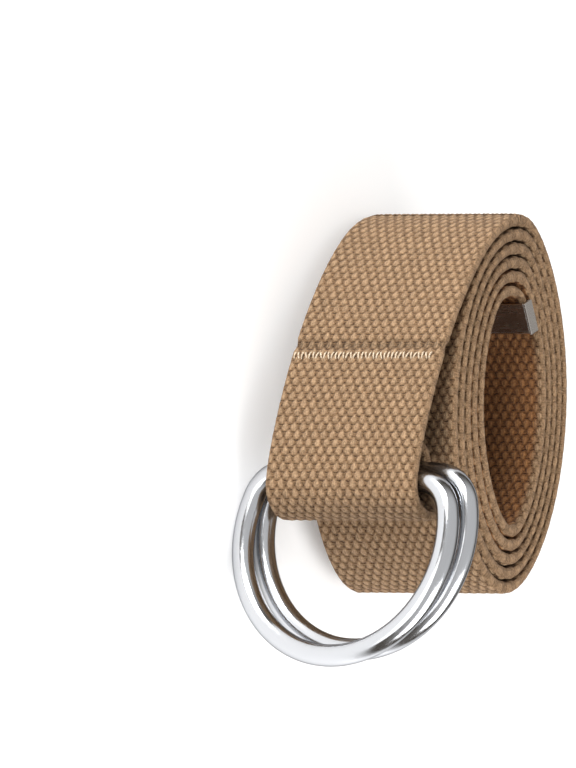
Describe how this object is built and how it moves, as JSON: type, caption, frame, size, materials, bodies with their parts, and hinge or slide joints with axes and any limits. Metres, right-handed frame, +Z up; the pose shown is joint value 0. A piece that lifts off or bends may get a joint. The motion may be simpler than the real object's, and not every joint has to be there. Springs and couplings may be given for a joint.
{
  "type": "rolled double ring belt",
  "caption": "Woven webbing waist belt wound into an oval roll, its outer end folded round the bars of paired D-rings and sewn, with a metal tip on the inner end.",
  "frame": {"origin": "middle of the bounding box, on the surface that the rolled belt lies on", "axes": "+X from the bare end of the roll to the ring end, its longest extent; the tab and the rings are on the -Y side; +Z up, about 9 degrees from the roll's own axis"},
  "size_m": [0.0948, 0.0672, 0.0555],
  "materials": {
    "webbing": "heavy woven cotton, khaki, matt, with raised cells",
    "ring_metal": "polished chrome plate",
    "tip_metal": "plain bright plate, lightly brushed"
  },
  "bodies": {
    "root": {"webbing": "webbing", "strap_tip": "tip_metal", "d_ring_front": "ring_metal", "d_ring_rear": "ring_metal"}
  },
  "joints": []
}
